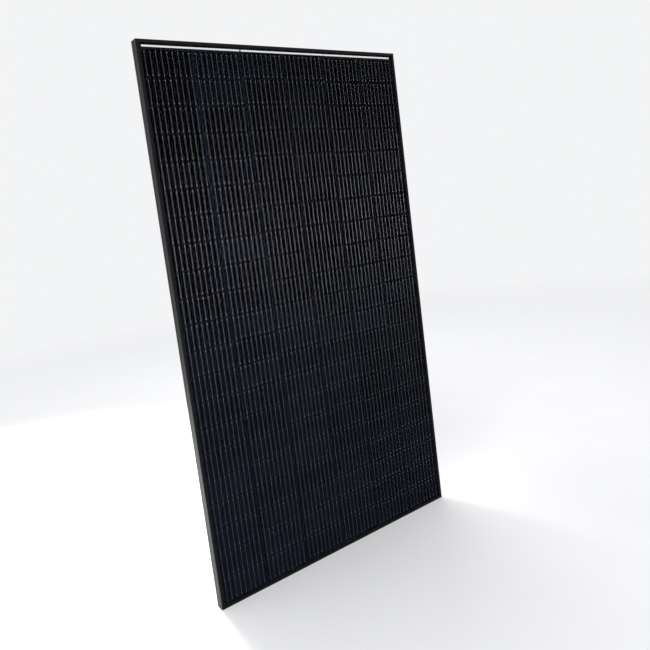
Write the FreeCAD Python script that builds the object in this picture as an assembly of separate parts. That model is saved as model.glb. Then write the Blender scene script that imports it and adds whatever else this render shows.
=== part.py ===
import FreeCAD, Part
import math
import os

# Framed photovoltaic module with 126 half-cut cells, in millimetres.
# The row frame: +Z up along the long side, +X to the right seen from the glass side,
# -Y out of the glass. The origin is the centre of the rear mounting plane (y = 0).

# --- driving dimensions -------------------------------------------------------------------------
WIDTH = 1038.0            # outer frame, X
HEIGHT = 1829.0           # outer frame, Z
DEPTH = 35.0              # outer frame, Y

# frame extrusion
WALL = 1.6                # outer wall and chamber walls
LIP_WIDTH = 10.0          # front lip over the glass
LIP_THICK = 1.5
CHAMBER_REAR = -11.0      # rear face of the hollow chamber
FLANGE_THICK = 1.6
FLANGE_LONG = 28.0        # rear flange of the two long rails
FLANGE_SHORT = 18.0       # rear flange of the two short rails
EDGE_RADIUS = 0.8         # outer edges of the extrusion
INNER_RADIUS = 0.5        # inner edges of the lip and the flange
SEALANT = 0.4             # silicone in front of and behind the laminate
SEALANT_SETBACK = 0.4     # the bead stops this far short of the lip's edge
LAMINATE_INSET = 2.5      # laminate edge from the frame's outer face

# laminate layers, from the front
GLASS = 3.2
FRONT_FILM = 0.4
WIRE_THICK = 0.25
WAFER = 0.18
STRIP_THICK = 0.12
BUS_THICK = 0.25
REAR_FILM = 0.4
BACKSHEET = 0.35

# cells
COLUMNS = 6
ROWS = 21
CELL_WIDTH = 166.0
CELL_HEIGHT = 83.0
COLUMN_GAP = 3.0
ROW_GAP = 2.1
CELL_CHAMFER = 8.5
TOP_MARGIN = 28.9         # first cell row of the left pair of strings below the frame's top
PAIR_SHIFTS = (0.0, 4.2, -0.4)   # each pair of strings is laid a little higher or lower

# wires along the cells
BUSBARS = 9
BUSBAR_PITCH = 18.08
WIRE_WIDTH = 0.4
WIRE_END = 4.0            # bare stretch between a wire's end and the cell's edge
JOG = 0.5                 # the wire changes side this far clear of each cell in the row gap

# cross ribbons
TOP_RIBBON_WIDTH = 5.6
TOP_RIBBON_Z = HEIGHT / 2 - 18.2
TOP_RIBBON_ENDS = ((-501.0, -166.3), (-161.0, 178.2), (179.8, 496.5))
BUS_WIDTH = 5.0
LOW_BUS_Z = -880.0        # ribbons of the inner strings, behind the last cell row
HIGH_BUS_Z = -869.0       # ribbons of the two outer strings
BUS_FOLD = 1.5            # wires fold round the last cell this far below it
BUS_OVERHANG = 2.0        # ribbon beyond its outermost wires
LEAD_LANDING = 27.0       # length of a lead along its terminal
TERMINAL_XS = (-42.0, -14.0, 14.0, 42.0)
STRIP_MARGINS = (6.0, 8.0)    # insulation strip below the low ribbons and above the high ones

# holes in the frame
MOUNT_SLOT = (14.0, 9.0)
MOUNT_SLOT_ZS = (-700.0, -500.0, 500.0, 700.0)
HOLE_INSET = 16.0         # flange holes from the frame's outer face
EARTH_HOLE_R = 2.1
EARTH_HOLE_ZS = (-300.0, 300.0)
DRAIN_SLOT = (10.0, 4.0)
DRAIN_INSET = 70.0        # from the frame's corner
DRAIN_Y = -6.3

# corner keys
KEY_LEG = 48.0
KEY_CLEARANCE = 0.15
KEY_TEETH = 5
KEY_TOOTH = 0.8           # depth of a notch between two teeth
KEY_TIP = 3.0             # plain stretch at a leg's end
KEY_HEEL = 1.0            # plain stretch where the legs meet

# blank rating label on the backsheet
LABEL_X = (-330.0, -210.0)
LABEL_Z = (-835.0, -755.0)
LABEL_RADIUS = 3.0
LABEL_THICK = 0.15

# junction box
BOX_WIDTH = 124.0
BOX_HEIGHT = 104.0
BOX_Z = -800.0
BOX_RADIUS = 8.0
BOX_FOOT = 6.0            # glued foot round the base
BOX_PAD = 1.0             # adhesive
BASE_DEPTH = 15.0
BOX_WALL = 2.2
BOX_FLOOR = 2.0
GASKET_THICK = 1.2
LID_THICK = 2.4
LID_RIB = 1.0             # grip ribs on the lid stand this proud
LID_RIB_SIZE = (3.0, 76.0)
LID_RIB_PITCH = 12.0
LID_RIBS = 9
LID_RIB_RADIUS = 1.4
LID_EDGE_RADIUS = 1.2
LID_CLEARANCE = 0.4
GASKET_INSET = 0.1        # gasket's edges from the wall's faces
SKIRT_THICK = 2.0
SKIRT_DEPTH = 5.0
SKIRT_START = 12.0        # the skirt stops this far short of the hinge, to turn clear of the base
LEAD_SLOT = (104.0, 6.0)
LEAD_Z = BOX_Z - 41.0
HINGE_RISE = 3.6          # hinge axis above the base's upper wall
HINGE_BACK = 0.7          # hinge axis behind the lid's inner face
HINGE_XS = (-14.0, 14.0)
PIN_R = 1.5
PIN_CLEARANCE = 0.08
EAR_R = 3.2
EAR_WIDTH = 8.0
EAR_SIDE_PLAY = 0.3
LUG_R = 3.0
LUG_WIDTH = 4.0
LUG_ROOT = 6.0            # height of a lug's root on the base's wall
LUG_CLEARANCE = 0.55      # room above the base's upper wall for the lid's edge
LATCH_XS = (-30.0, 30.0)
CATCH_WIDTH = 7.2
CATCH_PROUD = 1.6
CATCH_SPAN = (7.0, 4.0)   # a catch's stop and the start of its ramp, in front of the base's rim
CATCH_LEDGE = 0.8         # flat top of a catch
CATCH_PLAY = 0.4          # room round a catch in the tab's window
TAB_WIDTH = 14.0
TAB_REACH = 9.0           # tab's tip in front of the base's rim

# cable glands; lengths are above the base's upper wall
GLAND_XS = (-42.0, 42.0)
CABLE_R = 2.8             # bore of the rubber seal
CORE_R = 3.2              # clear way through the gland's body and nut
SHANK_R = 4.6             # body where it passes through the wall
SHANK_PROUD = 1.0         # body inside the box, past the wall
COLLAR_R = 6.2
COLLAR_END = 1.6
SPIGOT_R = 5.0
SPIGOT_END = 8.0
SEAL_R = 4.1
SEAL_SPAN = (0.6, 8.4)
SEAL_NOSE = 0.5           # lip of the seal that sits in the body's clear way
NUT_R = 6.2
NUT_SPAN = (2.0, 11.0)
NUT_CHAMFER = 0.8
NUT_FLUTES = 10
FLUTE_R = 1.1
FLUTE_OFFSET = 0.6        # centre of a flute outside the nut's edge
GLAND_PLAY = 0.1          # gap between the gland's pieces, in radius
GLAND_BACK = 0.9          # glands behind the middle of the base's depth

# terminals
SUPPORT_SIZE = (100.0, 6.0)
SUPPORT_RISES = (-22.0, 14.0)     # the two supports from the box's middle
SUPPORT_HEIGHT = 3.5      # terminals above the base's floor
PLATE_THICK = 0.8
PLATE_RADIUS = 2.0
PLATE_HALF_WIDTH = 10.0
PLATE_ENDS = (-30.0, 22.0)
TONGUE_HALF_WIDTH = 2.4
BARREL_SPAN = (26.0, 38.0)
BARREL_R = 2.9
BARREL_BORE_R = 1.7
WEB_HALF_THICK = 0.8
CLAMP_SPAN = (-26.0, -19.0)
CLAMP_HALF_WIDTH = 5.5
CLAMP_HALF_BRIDGE = 2.9   # half of the raised stretch over the lead
CLAMP_THICK = 0.5
CLAMP_RISE = 0.35
DIODE_R = 3.5
DIODE_HALF_LENGTH = 4.5
DIODE_RISE = 6.0
DIODE_CLEARANCE = 0.3         # between a diode and the plates below it
LEAD_R = 0.6
LEAD_REACH = 9.0

# modelling allowances
EMBED = 0.5               # a feature starts this deep inside the body that it is fused to
OVERRUN = 1.0             # a cutting tool starts this far outside the face that it cuts
NEAR = 0.01               # edges closer than this to a plane lie on it

# --- planes worked out from them ----------------------------------------------------------------
HALF_W = WIDTH / 2
HALF_H = HEIGHT / 2
LIP_REAR = -DEPTH + LIP_THICK
GLASS_FRONT = LIP_REAR + SEALANT
GLASS_REAR = GLASS_FRONT + GLASS
FRONT_WIRE_Y = GLASS_REAR + FRONT_FILM
CELL_Y = FRONT_WIRE_Y + WIRE_THICK
BACK_WIRE_Y = CELL_Y + WAFER
STRIP_Y = BACK_WIRE_Y + WIRE_THICK
BUS_Y = STRIP_Y + STRIP_THICK
REAR_FILM_Y = BUS_Y + BUS_THICK
BACKSHEET_Y = REAR_FILM_Y + REAR_FILM
LAMINATE_REAR = BACKSHEET_Y + BACKSHEET
SHELF_FRONT = LAMINATE_REAR + SEALANT
CHAMBER_FRONT = SHELF_FRONT + WALL

COLUMN_PITCH = CELL_WIDTH + COLUMN_GAP
ROW_PITCH = CELL_HEIGHT + ROW_GAP
FIRST_CELL_TOP = HALF_H - TOP_MARGIN

BASE_FRONT = LAMINATE_REAR + BOX_PAD
FLOOR_REAR = BASE_FRONT + BOX_FLOOR
RIM_Y = BASE_FRONT + BASE_DEPTH
LID_INNER = RIM_Y + GASKET_THICK
LID_OUTER = LID_INNER + LID_THICK
BOX_TOP = BOX_Z + BOX_HEIGHT / 2
HINGE_Y = LID_INNER + HINGE_BACK
HINGE_Z = BOX_TOP + HINGE_RISE
GLAND_Y = (BASE_FRONT + RIM_Y) / 2 + GLAND_BACK
PLATE_FRONT = FLOOR_REAR + SUPPORT_HEIGHT
PLATE_REAR = PLATE_FRONT + PLATE_THICK


# --- shape helpers ------------------------------------------------------------------------------
def vec(x, y, z):
    return FreeCAD.Vector(x, y, z)


def block(x, y, z):
    """A box between the two limits given for each axis."""
    size = [axis[1] - axis[0] for axis in (x, y, z)]
    return Part.makeBox(*size, vec(x[0], y[0], z[0]))


def on_xz(u, v):
    return vec(u, 0, v)


def on_yz(u, v):
    return vec(0, u, v)


def on_xy(u, v):
    return vec(u, v, 0)


def outline(points, place, radii=None):
    """A flat face inside a closed line of corners, each rounded by its own radius."""
    count = len(points)
    radii = radii or [0.0] * count
    flat = [vec(u, v, 0) for u, v in points]
    entries, exits, edges = [], [], []
    for i, corner in enumerate(flat):
        back = (flat[i - 1] - corner).normalize()
        ahead = (flat[(i + 1) % count] - corner).normalize()
        half = back.getAngle(ahead) / 2
        trim = radii[i] / math.tan(half)
        reach = radii[i] / math.sin(half) - radii[i]
        entry = corner + back * trim
        leave = corner + ahead * trim
        entries.append(entry)
        exits.append(leave)
        if radii[i] > 0:
            middle = corner + (back + ahead).normalize() * reach
            turn = [place(p.x, p.y) for p in (entry, middle, leave)]
            edges.append(Part.Arc(*turn).toShape())
        else:
            edges.append(None)
    ordered = []
    for i in range(count):
        if edges[i] is not None:
            ordered.append(edges[i])
        start, end = exits[i], entries[(i + 1) % count]
        if (end - start).Length > 1e-6:
            ends = [place(p.x, p.y) for p in (start, end)]
            ordered.append(Part.LineSegment(*ends).toShape())
    return Part.Face(Part.Wire(ordered))


def plate(points, y, radii=None):
    """An outline in the XZ plane, thickened between two Y limits."""
    face = outline(points, on_xz, radii)
    face.translate(vec(0, y[0], 0))
    return face.extrude(vec(0, y[1] - y[0], 0))


def bar_x(points, x, radii=None):
    """An outline in the YZ plane, thickened between two X limits."""
    face = outline(points, on_yz, radii)
    face.translate(vec(x[0], 0, 0))
    return face.extrude(vec(x[1] - x[0], 0, 0))


def bar_z(points, z, radii=None):
    """An outline in the XY plane, thickened between two Z limits."""
    face = outline(points, on_xy, radii)
    face.translate(vec(0, 0, z[0]))
    return face.extrude(vec(0, 0, z[1] - z[0]))


def corners_of(u, v):
    """The four corners of a rectangle with these limits."""
    return [(u[0], v[0]), (u[1], v[0]), (u[1], v[1]), (u[0], v[1])]


def rounded_plate(x, y, z, radius):
    """A flat plate with four rounded corners."""
    return plate(corners_of(x, z), y, [radius] * 4)


def around(centre, width):
    return centre - width / 2, centre + width / 2


def rod(radius, start, end):
    """A round bar from one point to another."""
    along = end - start
    return Part.makeCylinder(radius, along.Length, start, along)


def tape(points, thick, x):
    """A flat tape of even thickness that follows corner points (y, z), between two X limits."""
    path = [vec(y, z, 0) for y, z in points]
    sides = [(b - a).normalize() for a, b in zip(path, path[1:])]
    left, right = [], []
    for i, point in enumerate(path):
        before = sides[max(i - 1, 0)]
        after = sides[min(i, len(sides) - 1)]
        normal = vec(-(before.y + after.y), before.x + after.x, 0).normalize()
        square = vec(-after.y, after.x, 0)
        offset = normal * (thick / 2 / normal.dot(square))
        left.append(point + offset)
        right.append(point - offset)
    return bar_x([(p.x, p.y) for p in left + right[::-1]], x)


def export(name, *solids):
    """Writes one sub-part, whole or as a group of separate solids."""
    shape = solids[0] if len(solids) == 1 else Part.makeCompound(list(solids))
    shape.exportStep(f"parts/{name}.step")


# --- frame --------------------------------------------------------------------------------------
def rail_section(flange):
    """The extrusion's outline as (inward from the outer face, y) corners with their radii."""
    points = [
        (0, -DEPTH), (LIP_WIDTH, -DEPTH), (LIP_WIDTH, LIP_REAR), (WALL, LIP_REAR),
        (WALL, SHELF_FRONT), (LIP_WIDTH, SHELF_FRONT), (LIP_WIDTH, CHAMBER_REAR),
        (WALL, CHAMBER_REAR), (WALL, -FLANGE_THICK), (flange, -FLANGE_THICK),
        (flange, 0), (0, 0),
    ]
    radii = [EDGE_RADIUS, INNER_RADIUS] + [0.0] * 8 + [INNER_RADIUS, EDGE_RADIUS]
    return points, radii


def chamber_section():
    inner = LIP_WIDTH - WALL
    return [(WALL, CHAMBER_FRONT), (inner, CHAMBER_FRONT),
            (inner, CHAMBER_REAR - WALL), (WALL, CHAMBER_REAR - WALL)]


def rail(side):
    """One mitred rail. side is left, right, top or bottom."""
    upright = side in ("left", "right")
    far = 1 if side in ("right", "top") else -1
    half_span = HALF_H if upright else HALF_W
    half_across = HALF_W if upright else HALF_H
    flange = FLANGE_LONG if upright else FLANGE_SHORT
    run = vec(0, 0, 2 * half_span) if upright else vec(2 * half_span, 0, 0)

    def place(u, y):
        across = far * (half_across - u)
        return vec(across, y, -half_span) if upright else vec(-half_span, y, across)

    points, radii = rail_section(flange)
    body = outline(points, place, radii).extrude(run)
    body = body.cut(outline(chamber_section(), place).extrude(run))
    mitre = [(-half_span, half_across), (half_span, half_across),
             (half_span - flange, half_across - flange), (-half_span + flange, half_across - flange)]
    corners = [(far * v, u) if upright else (u, far * v) for u, v in mitre]
    body = body.common(plate(corners, (-DEPTH, 0)))
    cutters = flange_cutters(far) if upright else []
    cutters += drain_cutters(upright, far, half_span, half_across)
    return body.cut(cutters)


def flange_cutters(far):
    """Mounting slots and earthing holes in a long rail's rear flange."""
    x = far * (HALF_W - HOLE_INSET)
    through = (-FLANGE_THICK - OVERRUN, OVERRUN)
    length, width = MOUNT_SLOT
    slots = [rounded_plate(around(x, width), through, around(z, length), width / 2)
             for z in MOUNT_SLOT_ZS]
    holes = [rod(EARTH_HOLE_R, vec(x, through[0], z), vec(x, through[1], z))
             for z in EARTH_HOLE_ZS]
    return slots + holes


def drain_cutters(upright, far, half_span, half_across):
    """Water drains through the outer wall, behind the chamber, near both ends of a rail."""
    length, width = DRAIN_SLOT
    through = around(far * half_across, 4 * WALL)
    y = around(DRAIN_Y, width)
    radii = [width / 2] * 4
    cutters = []
    for end in (-1, 1):
        along = around(end * (half_span - DRAIN_INSET), length)
        if upright:
            cutters.append(bar_x(corners_of(y, along), through, radii))
        else:
            cutters.append(bar_z(corners_of(along, y), through, radii))
    return cutters


def corner_key(side, level):
    """The toothed angle pressed into both chambers at one corner. side and level are -1 or 1."""
    outer = WALL + KEY_CLEARANCE
    inner = LIP_WIDTH - WALL - KEY_CLEARANCE
    pitch = (KEY_LEG - KEY_TIP - inner - KEY_HEEL) / KEY_TEETH
    leg = [(inner, KEY_LEG)]
    for i in range(KEY_TEETH):
        start = KEY_LEG - KEY_TIP - i * pitch
        leg += [(inner, start), (inner - KEY_TOOTH, start - KEY_TOOTH), (inner, start - 2 * KEY_TOOTH)]
    other = [(v, u) for u, v in reversed(leg)]
    points = [(outer, outer), (outer, KEY_LEG)] + leg + [(inner, inner)] + other + [(KEY_LEG, outer)]
    placed = [(side * (HALF_W - u), level * (HALF_H - v)) for u, v in points]
    depth = (CHAMBER_FRONT + KEY_CLEARANCE, CHAMBER_REAR - WALL - KEY_CLEARANCE)
    return plate(placed, depth)


def edge_sealant():
    """The silicone that fills the groove round the laminate's edge."""
    def ring(inset, y):
        return block((-HALF_W + inset, HALF_W - inset), y, (-HALF_H + inset, HALF_H - inset))

    bead = ring(WALL, (LIP_REAR, SHELF_FRONT))
    window = ring(LIP_WIDTH - SEALANT_SETBACK, (LIP_REAR - OVERRUN, SHELF_FRONT + OVERRUN))
    return bead.cut([window, ring(LAMINATE_INSET, (GLASS_FRONT, LAMINATE_REAR))])


# --- laminate -----------------------------------------------------------------------------------
def sheet(y, thick):
    half_w = HALF_W - LAMINATE_INSET
    half_h = HALF_H - LAMINATE_INSET
    return block((-half_w, half_w), (y, y + thick), (-half_h, half_h))


def lead_window(y):
    """The tool for the slot that the four leads pass through."""
    half, tall = LEAD_SLOT[0] / 2, LEAD_SLOT[1] / 2
    return block((-half, half), y, (LEAD_Z - tall, LEAD_Z + tall))


def column_left(column):
    field = COLUMNS * COLUMN_PITCH - COLUMN_GAP
    return -field / 2 + column * COLUMN_PITCH


def cell_top(column, row):
    return FIRST_CELL_TOP + PAIR_SHIFTS[column // 2] - row * ROW_PITCH


def half_cell():
    """One half-cut wafer with its two outer corners cut off, its upper left corner at x = z = 0."""
    points = [(0, -CELL_HEIGHT), (CELL_WIDTH, -CELL_HEIGHT), (CELL_WIDTH, -CELL_CHAMFER),
              (CELL_WIDTH - CELL_CHAMFER, 0), (CELL_CHAMFER, 0), (0, -CELL_CHAMFER)]
    return plate(points, (CELL_Y, CELL_Y + WAFER))


def cell_string(column):
    wafer = half_cell()
    return [wafer.translated(vec(column_left(column), 0, cell_top(column, row)))
            for row in range(ROWS)]


def wire_paths(column):
    """The (y, z) corner points of each wire of one string, from its highest to its lowest."""
    front = FRONT_WIRE_Y + WIRE_THICK / 2
    back = BACK_WIRE_Y + WIRE_THICK / 2
    bus = BUS_Y + BUS_THICK / 2
    front_goes_up = column % 2 == 0
    upper, lower = (back, front) if front_goes_up else (front, back)
    ribbon_foot = TOP_RIBBON_Z - TOP_RIBBON_WIDTH / 2
    top = cell_top(column, 0)
    first = [(front, ribbon_foot)]
    if lower != front:
        first += [(front, ribbon_foot - JOG), (lower, top + JOG)]
    paths = [first + [(lower, top - CELL_HEIGHT + WIRE_END)]]
    for row in range(1, ROWS):
        above = cell_top(column, row - 1)
        edge = above - CELL_HEIGHT
        below = cell_top(column, row)
        paths.append([(upper, above - WIRE_END), (upper, edge - JOG),
                      (lower, below + JOG), (lower, below - CELL_HEIGHT + WIRE_END)])
    last = cell_top(column, ROWS - 1)
    fold = last - CELL_HEIGHT - BUS_FOLD
    ribbon = HIGH_BUS_Z if column in (0, COLUMNS - 1) else LOW_BUS_Z
    paths.append([(upper, last - WIRE_END), (upper, fold), (bus, fold),
                  (bus, ribbon - BUS_WIDTH / 2)])
    return paths


def busbar_x(column, busbar):
    first = (CELL_WIDTH - (BUSBARS - 1) * BUSBAR_PITCH) / 2
    return column_left(column) + first + busbar * BUSBAR_PITCH


def string_wires(column):
    wires = []
    for path in wire_paths(column):
        wire = tape(path, WIRE_THICK, (-WIRE_WIDTH / 2, WIRE_WIDTH / 2))
        wires += [wire.translated(vec(busbar_x(column, i), 0, 0)) for i in range(BUSBARS)]
    return wires


def top_ribbon(ends):
    half = TOP_RIBBON_WIDTH / 2
    return block(ends, (FRONT_WIRE_Y, FRONT_WIRE_Y + BUS_THICK),
                 (TOP_RIBBON_Z - half, TOP_RIBBON_Z + half))


def bottom_ribbon(x, z, lead_x):
    """A hidden cross ribbon with its lead, which goes up, out of the backsheet and to a terminal."""
    half = BUS_WIDTH / 2
    across = block(x, (BUS_Y, BUS_Y + BUS_THICK), (z - half, z + half))
    middle = BUS_Y + BUS_THICK / 2
    landing = PLATE_REAR + BUS_THICK / 2
    path = [(middle, z), (middle, LEAD_Z), (landing, LEAD_Z), (landing, LEAD_Z + LEAD_LANDING)]
    lead = tape(path, BUS_THICK, (lead_x - half, lead_x + half))
    return across.fuse(lead).removeSplitter()


def bottom_ribbons():
    inner_end = BUS_WIDTH / 2
    spans = []
    for i, lead_x in enumerate(TERMINAL_XS):
        first = busbar_x(max(2 * i - 1, 0), 0) - BUS_OVERHANG
        last = busbar_x(min(2 * i, COLUMNS - 1), BUSBARS - 1) + BUS_OVERHANG
        spans.append((min(first, lead_x - inner_end), max(last, lead_x + inner_end)))
    heights = (HIGH_BUS_Z, LOW_BUS_Z, LOW_BUS_Z, HIGH_BUS_Z)
    return [bottom_ribbon(*item) for item in zip(spans, heights, TERMINAL_XS)]


def insulation_strip():
    edge = column_left(0)
    below, above = STRIP_MARGINS
    return block((edge, -edge), (STRIP_Y, STRIP_Y + STRIP_THICK), (LOW_BUS_Z - below, HIGH_BUS_Z + above))


def rating_label():
    return rounded_plate(LABEL_X, (LAMINATE_REAR, LAMINATE_REAR + LABEL_THICK), LABEL_Z, LABEL_RADIUS)


# --- junction box -------------------------------------------------------------------------------
def box_span(grow):
    """X and Z limits of the box's plan, grown by a margin."""
    half_w, half_h = BOX_WIDTH / 2 + grow, BOX_HEIGHT / 2 + grow
    return (-half_w, half_w), (BOX_Z - half_h, BOX_Z + half_h)


def box_layer(grow, y, radius):
    x, z = box_span(grow)
    return rounded_plate(x, y, z, radius)


def box_adhesive():
    pad = box_layer(BOX_FOOT, (LAMINATE_REAR, BASE_FRONT), BOX_RADIUS)
    return pad.cut(lead_window((LAMINATE_REAR - OVERRUN, BASE_FRONT + OVERRUN)))


def hinge_lugs():
    """Two pairs of lugs on the base with a moulded pin between each pair."""
    pieces = []
    for x in HINGE_XS:
        for side in (-1, 1):
            inner = x + side * (EAR_WIDTH / 2 + EAR_SIDE_PLAY)
            span = tuple(sorted((inner, inner + side * LUG_WIDTH)))
            arm = block(span, (HINGE_Y - LUG_ROOT, HINGE_Y), (BOX_TOP - EMBED, HINGE_Z))
            eye = rod(LUG_R, vec(span[0], HINGE_Y, HINGE_Z), vec(span[1], HINGE_Y, HINGE_Z))
            lid_room = block(span, (RIM_Y, LID_OUTER), (BOX_TOP - OVERRUN, BOX_TOP + LUG_CLEARANCE))
            pieces.append(arm.fuse(eye).cut(lid_room))
        reach = EAR_WIDTH / 2 + EAR_SIDE_PLAY + LUG_WIDTH / 4
        pieces.append(rod(PIN_R, vec(x - reach, HINGE_Y, HINGE_Z), vec(x + reach, HINGE_Y, HINGE_Z)))
    return pieces


def latch_catches():
    """Wedges under the base's lower wall that the lid's tabs snap over."""
    wall = BOX_Z - BOX_HEIGHT / 2
    root, tip = wall + EMBED, wall - CATCH_PROUD
    stop, ramp = RIM_Y - CATCH_SPAN[0], RIM_Y - CATCH_SPAN[1]
    points = [(stop, root), (stop, tip), (stop + CATCH_LEDGE, tip), (ramp, root)]
    return [bar_x(points, around(x, CATCH_WIDTH)) for x in LATCH_XS]


def terminal_supports():
    """Two moulded bars that the terminals lie on."""
    wide, tall = SUPPORT_SIZE
    return [block(around(0, wide), (FLOOR_REAR - EMBED, PLATE_FRONT), around(BOX_Z + rise, tall))
            for rise in SUPPORT_RISES]


def upright_rod(radius, x, span):
    """A round bar on a gland's axis, between two heights above the base's upper wall."""
    return rod(radius, vec(x, GLAND_Y, BOX_TOP + span[0]), vec(x, GLAND_Y, BOX_TOP + span[1]))


def box_base():
    shell = box_layer(0, (BASE_FRONT, RIM_Y), BOX_RADIUS)
    foot = box_layer(BOX_FOOT, (BASE_FRONT, FLOOR_REAR), BOX_RADIUS)
    hollow = box_layer(-BOX_WALL, (FLOOR_REAR, RIM_Y + OVERRUN), BOX_RADIUS - BOX_WALL)
    base = shell.fuse(foot).cut(hollow)
    base = base.fuse(hinge_lugs() + latch_catches() + terminal_supports())
    holes = [upright_rod(SHANK_R + GLAND_PLAY / 2, x, (-2 * BOX_WALL, OVERRUN)) for x in GLAND_XS]
    window = lead_window((BASE_FRONT - OVERRUN, FLOOR_REAR + OVERRUN))
    return base.cut(holes + [window]).removeSplitter()


def gland_body(x):
    """A shank through the wall, a collar outside it, and the spigot that the nut closes on."""
    body = upright_rod(SHANK_R, x, (-BOX_WALL - SHANK_PROUD, EMBED))
    collar = upright_rod(COLLAR_R, x, (0, COLLAR_END))
    spigot = upright_rod(SPIGOT_R, x, (EMBED, SPIGOT_END))
    seat = upright_rod(SEAL_R + GLAND_PLAY, x, (SEAL_SPAN[0], SPIGOT_END + OVERRUN))
    way = upright_rod(CORE_R, x, (-2 * BOX_WALL, SPIGOT_END + OVERRUN))
    return body.fuse([collar, spigot]).cut([seat, way]).removeSplitter()


def gland_seal(x):
    low, high = SEAL_SPAN
    nose = upright_rod(CORE_R - GLAND_PLAY / 2, x, (low - SEAL_NOSE, low))
    seal = upright_rod(SEAL_R, x, SEAL_SPAN).fuse(nose)
    return seal.cut(upright_rod(CABLE_R, x, (low - OVERRUN, high + OVERRUN))).removeSplitter()


def gland_nut(x):
    """A fluted cap nut, screwed onto the spigot and closing on the seal."""
    top = BOX_TOP + NUT_SPAN[1]
    nut = upright_rod(NUT_R, x, NUT_SPAN)
    rim = [edge for edge in nut.Edges if abs(edge.CenterOfMass.z - top) < NEAR]
    nut = nut.makeChamfer(NUT_CHAMFER, rim)
    cutters = [upright_rod(SPIGOT_R + GLAND_PLAY / 2, x, (NUT_SPAN[0], SEAL_SPAN[1])),
               upright_rod(CORE_R, x, NUT_SPAN)]
    flute_circle = NUT_R + FLUTE_OFFSET
    for i in range(NUT_FLUTES):
        turn = 2 * math.pi * i / NUT_FLUTES
        shift = vec(flute_circle * math.cos(turn), flute_circle * math.sin(turn), 0)
        cutters.append(upright_rod(FLUTE_R, x, NUT_SPAN).translated(shift))
    return nut.cut(cutters)


def lid_gasket():
    thick = (RIM_Y, LID_INNER)
    hollow = BOX_WALL - GASKET_INSET
    ring = box_layer(-GASKET_INSET, thick, BOX_RADIUS - GASKET_INSET)
    return ring.cut(box_layer(-hollow, thick, BOX_RADIUS - hollow))


def lid_ear(x):
    """The eye that turns on one moulded pin, with the neck that joins it to the lid."""
    ends = around(x, EAR_WIDTH)
    eye = rod(EAR_R, vec(ends[0], HINGE_Y, HINGE_Z), vec(ends[1], HINGE_Y, HINGE_Z))
    neck = block(ends, (LID_INNER, LID_OUTER), (BOX_TOP - EMBED, HINGE_Z))
    return eye.fuse(neck)


def lid_tab(x):
    """A snap tab that reaches down over one of the base's catches."""
    low = BOX_Z - BOX_HEIGHT / 2 - LID_CLEARANCE
    return block(around(x, TAB_WIDTH), (RIM_Y - TAB_REACH, LID_INNER), (low - SKIRT_THICK, low))


def lid_cutters():
    """Bores of the two ears, and the windows that the catches snap into."""
    low = BOX_Z - BOX_HEIGHT / 2
    bores = [rod(PIN_R + PIN_CLEARANCE, vec(x - EAR_WIDTH, HINGE_Y, HINGE_Z),
                 vec(x + EAR_WIDTH, HINGE_Y, HINGE_Z)) for x in HINGE_XS]
    stop, ramp = RIM_Y - CATCH_SPAN[0] - CATCH_PLAY, RIM_Y - CATCH_SPAN[1] + CATCH_PLAY
    windows = [block(around(x, CATCH_WIDTH + 2 * CATCH_PLAY), (stop, ramp), (low - 2 * SKIRT_THICK, low))
               for x in LATCH_XS]
    return bores + windows


def box_lid():
    outer = LID_CLEARANCE + SKIRT_THICK
    skirt_end = LID_INNER - SKIRT_DEPTH
    cover = box_layer(outer, (skirt_end, LID_OUTER), BOX_RADIUS + outer)
    rim = [edge for edge in cover.Edges if edge.BoundBox.YMin > LID_OUTER - NEAR]
    cover = cover.makeFillet(LID_EDGE_RADIUS, rim)
    hollow = box_layer(LID_CLEARANCE, (skirt_end - OVERRUN, LID_INNER), BOX_RADIUS + LID_CLEARANCE)
    across = around(0, 2 * BOX_WIDTH)
    hinge_side = block(across, (skirt_end - OVERRUN, LID_OUTER + OVERRUN), (BOX_TOP, BOX_TOP + BOX_HEIGHT))
    skirt_gap = block(across, (skirt_end - OVERRUN, LID_INNER), (BOX_TOP - SKIRT_START, BOX_TOP))
    wide, tall = LID_RIB_SIZE
    rib_depth = (LID_OUTER - EMBED, LID_OUTER + LID_RIB)
    rib = rounded_plate(around(0, wide), rib_depth, around(BOX_Z, tall), LID_RIB_RADIUS)
    first = -(LID_RIBS - 1) / 2 * LID_RIB_PITCH
    ribs = [rib.translated(vec(first + i * LID_RIB_PITCH, 0, 0)) for i in range(LID_RIBS)]
    tabs = [lid_tab(x) for x in LATCH_XS]
    ears = [lid_ear(x) for x in HINGE_XS]
    lid = cover.cut([hollow, hinge_side, skirt_gap]).fuse(ribs + tabs + ears)
    return lid.cut(lid_cutters()).removeSplitter()


def terminal(index):
    """A copper plate; the two outer ones end in a crimp barrel in line with a cable gland."""
    x = TERMINAL_XS[index]
    thick = (PLATE_FRONT, PLATE_REAR)
    low, high = PLATE_ENDS
    across = around(x, 2 * PLATE_HALF_WIDTH)
    piece = rounded_plate(across, thick, (BOX_Z + low, BOX_Z + high), PLATE_RADIUS)
    if index in (0, len(TERMINAL_XS) - 1):
        span = (BOX_Z + BARREL_SPAN[0], BOX_Z + BARREL_SPAN[1])
        tongue = block(around(x, 2 * TONGUE_HALF_WIDTH), thick, (BOX_Z + high - EMBED, span[1]))
        ends = vec(x, GLAND_Y, span[0]), vec(x, GLAND_Y, span[1])
        web = block(around(x, 2 * WEB_HALF_THICK), (PLATE_FRONT, GLAND_Y), span)
        piece = piece.fuse([tongue, rod(BARREL_R, *ends), web])
        piece = piece.cut(rod(BARREL_BORE_R, *ends)).removeSplitter()
    return piece


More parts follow.
